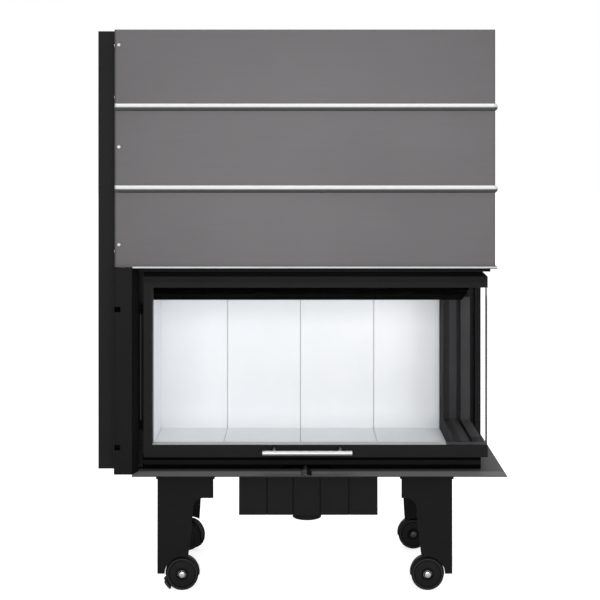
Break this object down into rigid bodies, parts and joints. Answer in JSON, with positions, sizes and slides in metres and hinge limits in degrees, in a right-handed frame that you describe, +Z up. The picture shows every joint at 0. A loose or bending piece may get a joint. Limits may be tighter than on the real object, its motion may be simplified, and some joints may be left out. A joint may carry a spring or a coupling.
{
  "type": "fireplace insert",
  "caption": "Corner fireplace insert with a glazed lift-up door, a sheet-metal hood, counterweight columns and folded legs on castors.",
  "frame": {"origin": "on the floor under the middle of the bounding box", "axes": "+X to the glazed right side seen from the front, +Y from the door to the back, +Z up"},
  "size_m": [1.062, 0.582, 1.5],
  "materials": {
    "hood_grey": "satin",
    "black_steel": "matt",
    "leg_grey": "matt",
    "raw_steel": "satin",
    "stainless": "brushed",
    "apron_bright": "satin",
    "pale_slab": "matt",
    "pane": "clear",
    "light_strip": "satin",
    "rope": "matt",
    "zinc": "satin",
    "weight_iron": "rough",
    "castor_shell": "satin",
    "castor_tread": "matt"
  },
  "bodies": {
    "insert": {"base_frame": "black_steel", "plinth": "black_steel", "firebox_body": "black_steel", "side_frame": "black_steel", "inner_header": "black_steel", "lining_back_1": "pale_slab", "lining_back_2": "pale_slab", "lining_back_3": "pale_slab", "lining_back_4": "pale_slab", "lining_left": "pale_slab", "lining_floor_1": "pale_slab", "lining_floor_2": "pale_slab", "lining_floor_3": "pale_slab", "lining_floor_4": "pale_slab", "baffle_plate": "pale_slab", "smoke_dome": "black_steel", "flue_collar": "black_steel", "column_left": "black_steel", "column_right": "black_steel", "fascia_left": "black_steel", "fascia_right": "black_steel", "guide_rail_left": "zinc", "guide_rail_right": "zinc", "hood": "hood_grey", "upper_apron": "apron_bright", "hood_screws": "zinc", "rear_jacket": "black_steel", "air_box": "leg_grey", "air_spigot": "leg_grey", "leg_fl": "leg_grey", "leg_fr": "leg_grey", "leg_rl": "leg_grey", "leg_rr": "leg_grey", "leg_bolts": "zinc", "cable_wraps": "raw_steel"},
    "door": {"door_frame": "black_steel", "front_glass": "pane", "side_glass": "pane", "glass_retainer": "light_strip", "door_seal": "rope", "handle": "stainless", "carriage_left": "zinc", "carriage_right": "zinc", "door_cables": "raw_steel"},
    "counterweight_left": {"counterweight_left": "weight_iron", "weight_cable_left": "raw_steel"},
    "counterweight_right": {"counterweight_right": "weight_iron", "weight_cable_right": "raw_steel"},
    "pulley_left": {"pulley_left": "raw_steel"},
    "pulley_right": {"pulley_right": "raw_steel"},
    "air_lever": {"air_lever": "black_steel"},
    "castor_fl": {"castor_body_fl": "castor_shell"},
    "wheels_fl": {"castor_wheels_fl": "castor_tread"},
    "castor_fr": {"castor_body_fr": "castor_shell"},
    "wheels_fr": {"castor_wheels_fr": "castor_tread"},
    "castor_rl": {"castor_body_rl": "castor_shell"},
    "wheels_rl": {"castor_wheels_rl": "castor_tread"},
    "castor_rr": {"castor_body_rr": "castor_shell"},
    "wheels_rr": {"castor_wheels_rr": "castor_tread"},
    "brake_fl": {"castor_brake_fl": "castor_shell"}
  },
  "joints": [
    {"name": "door_lift", "type": "slide", "parent": "insert", "child": "door", "axis": [0, 0, 1], "range_m": [0, 0.43], "deforming": ["door_cables"]},
    {"name": "weight_left_drop", "type": "slide", "parent": "insert", "child": "counterweight_left", "axis": [0, 0, -1], "range_m": [0, 0.43], "deforming": ["weight_cable_left"]},
    {"name": "weight_right_drop", "type": "slide", "parent": "insert", "child": "counterweight_right", "axis": [0, 0, -1], "range_m": [0, 0.43], "deforming": ["weight_cable_right"]},
    {"name": "pulley_left_turn", "type": "hinge", "parent": "insert", "child": "pulley_left", "pos_m": [-0.5055, -0.155, 1.44], "axis": [1, 0, 0], "range_deg": [-705, 0]},
    {"name": "pulley_right_turn", "type": "hinge", "parent": "insert", "child": "pulley_right", "pos_m": [0.4775, 0.16, 1.44], "axis": [1, 0, 0], "range_deg": [-705, 0]},
    {"name": "air_lever_swing", "type": "hinge", "parent": "insert", "child": "air_lever", "pos_m": [0.016, -0.165, 0.3528], "axis": [0, 0, 1], "range_deg": [-30, 30]},
    {"name": "castor_fl_swivel", "type": "hinge", "parent": "insert", "child": "castor_fl", "pos_m": [-0.3465, -0.104, 0.1], "axis": [0, 0, 1], "range_deg": [-8, 105]},
    {"name": "wheels_fl_roll", "type": "hinge", "parent": "castor_fl", "child": "wheels_fl", "pos_m": [-0.3195, -0.104, 0.044], "axis": [0, 1, 0], "continuous": true},
    {"name": "castor_fr_swivel", "type": "hinge", "parent": "insert", "child": "castor_fr", "pos_m": [0.37, -0.104, 0.1], "axis": [0, 0, 1], "range_deg": [-105, 8]},
    {"name": "wheels_fr_roll", "type": "hinge", "parent": "castor_fr", "child": "wheels_fr", "pos_m": [0.343, -0.104, 0.044], "axis": [0, 1, 0], "continuous": true},
    {"name": "castor_rl_swivel", "type": "hinge", "parent": "insert", "child": "castor_rl", "pos_m": [-0.3535, 0.236, 0.1], "axis": [0, 0, 1], "range_deg": [-6, 135]},
    {"name": "wheels_rl_roll", "type": "hinge", "parent": "castor_rl", "child": "wheels_rl", "pos_m": [-0.33012, 0.2225, 0.044], "axis": [0.5, 0.866, 0], "continuous": true},
    {"name": "castor_rr_swivel", "type": "hinge", "parent": "insert", "child": "castor_rr", "pos_m": [0.363, 0.236, 0.1], "axis": [0, 0, 1], "range_deg": [-105, 8]},
    {"name": "wheels_rr_roll", "type": "hinge", "parent": "castor_rr", "child": "wheels_rr", "pos_m": [0.336, 0.236, 0.044], "axis": [0, 1, 0], "continuous": true},
    {"name": "brake_fl_press", "type": "hinge", "parent": "castor_fl", "child": "brake_fl", "pos_m": [-0.3545, -0.104, 0.03], "axis": [0, -1, 0], "range_deg": [0, 8]}
  ],
  "couplings": [
    {"joint": "weight_left_drop", "follows": "door_lift", "ratio": 1},
    {"joint": "weight_right_drop", "follows": "door_lift", "ratio": 1},
    {"joint": "pulley_left_turn", "follows": "door_lift", "rad_per_m": -28.571},
    {"joint": "pulley_right_turn", "follows": "door_lift", "rad_per_m": -28.571}
  ]
}
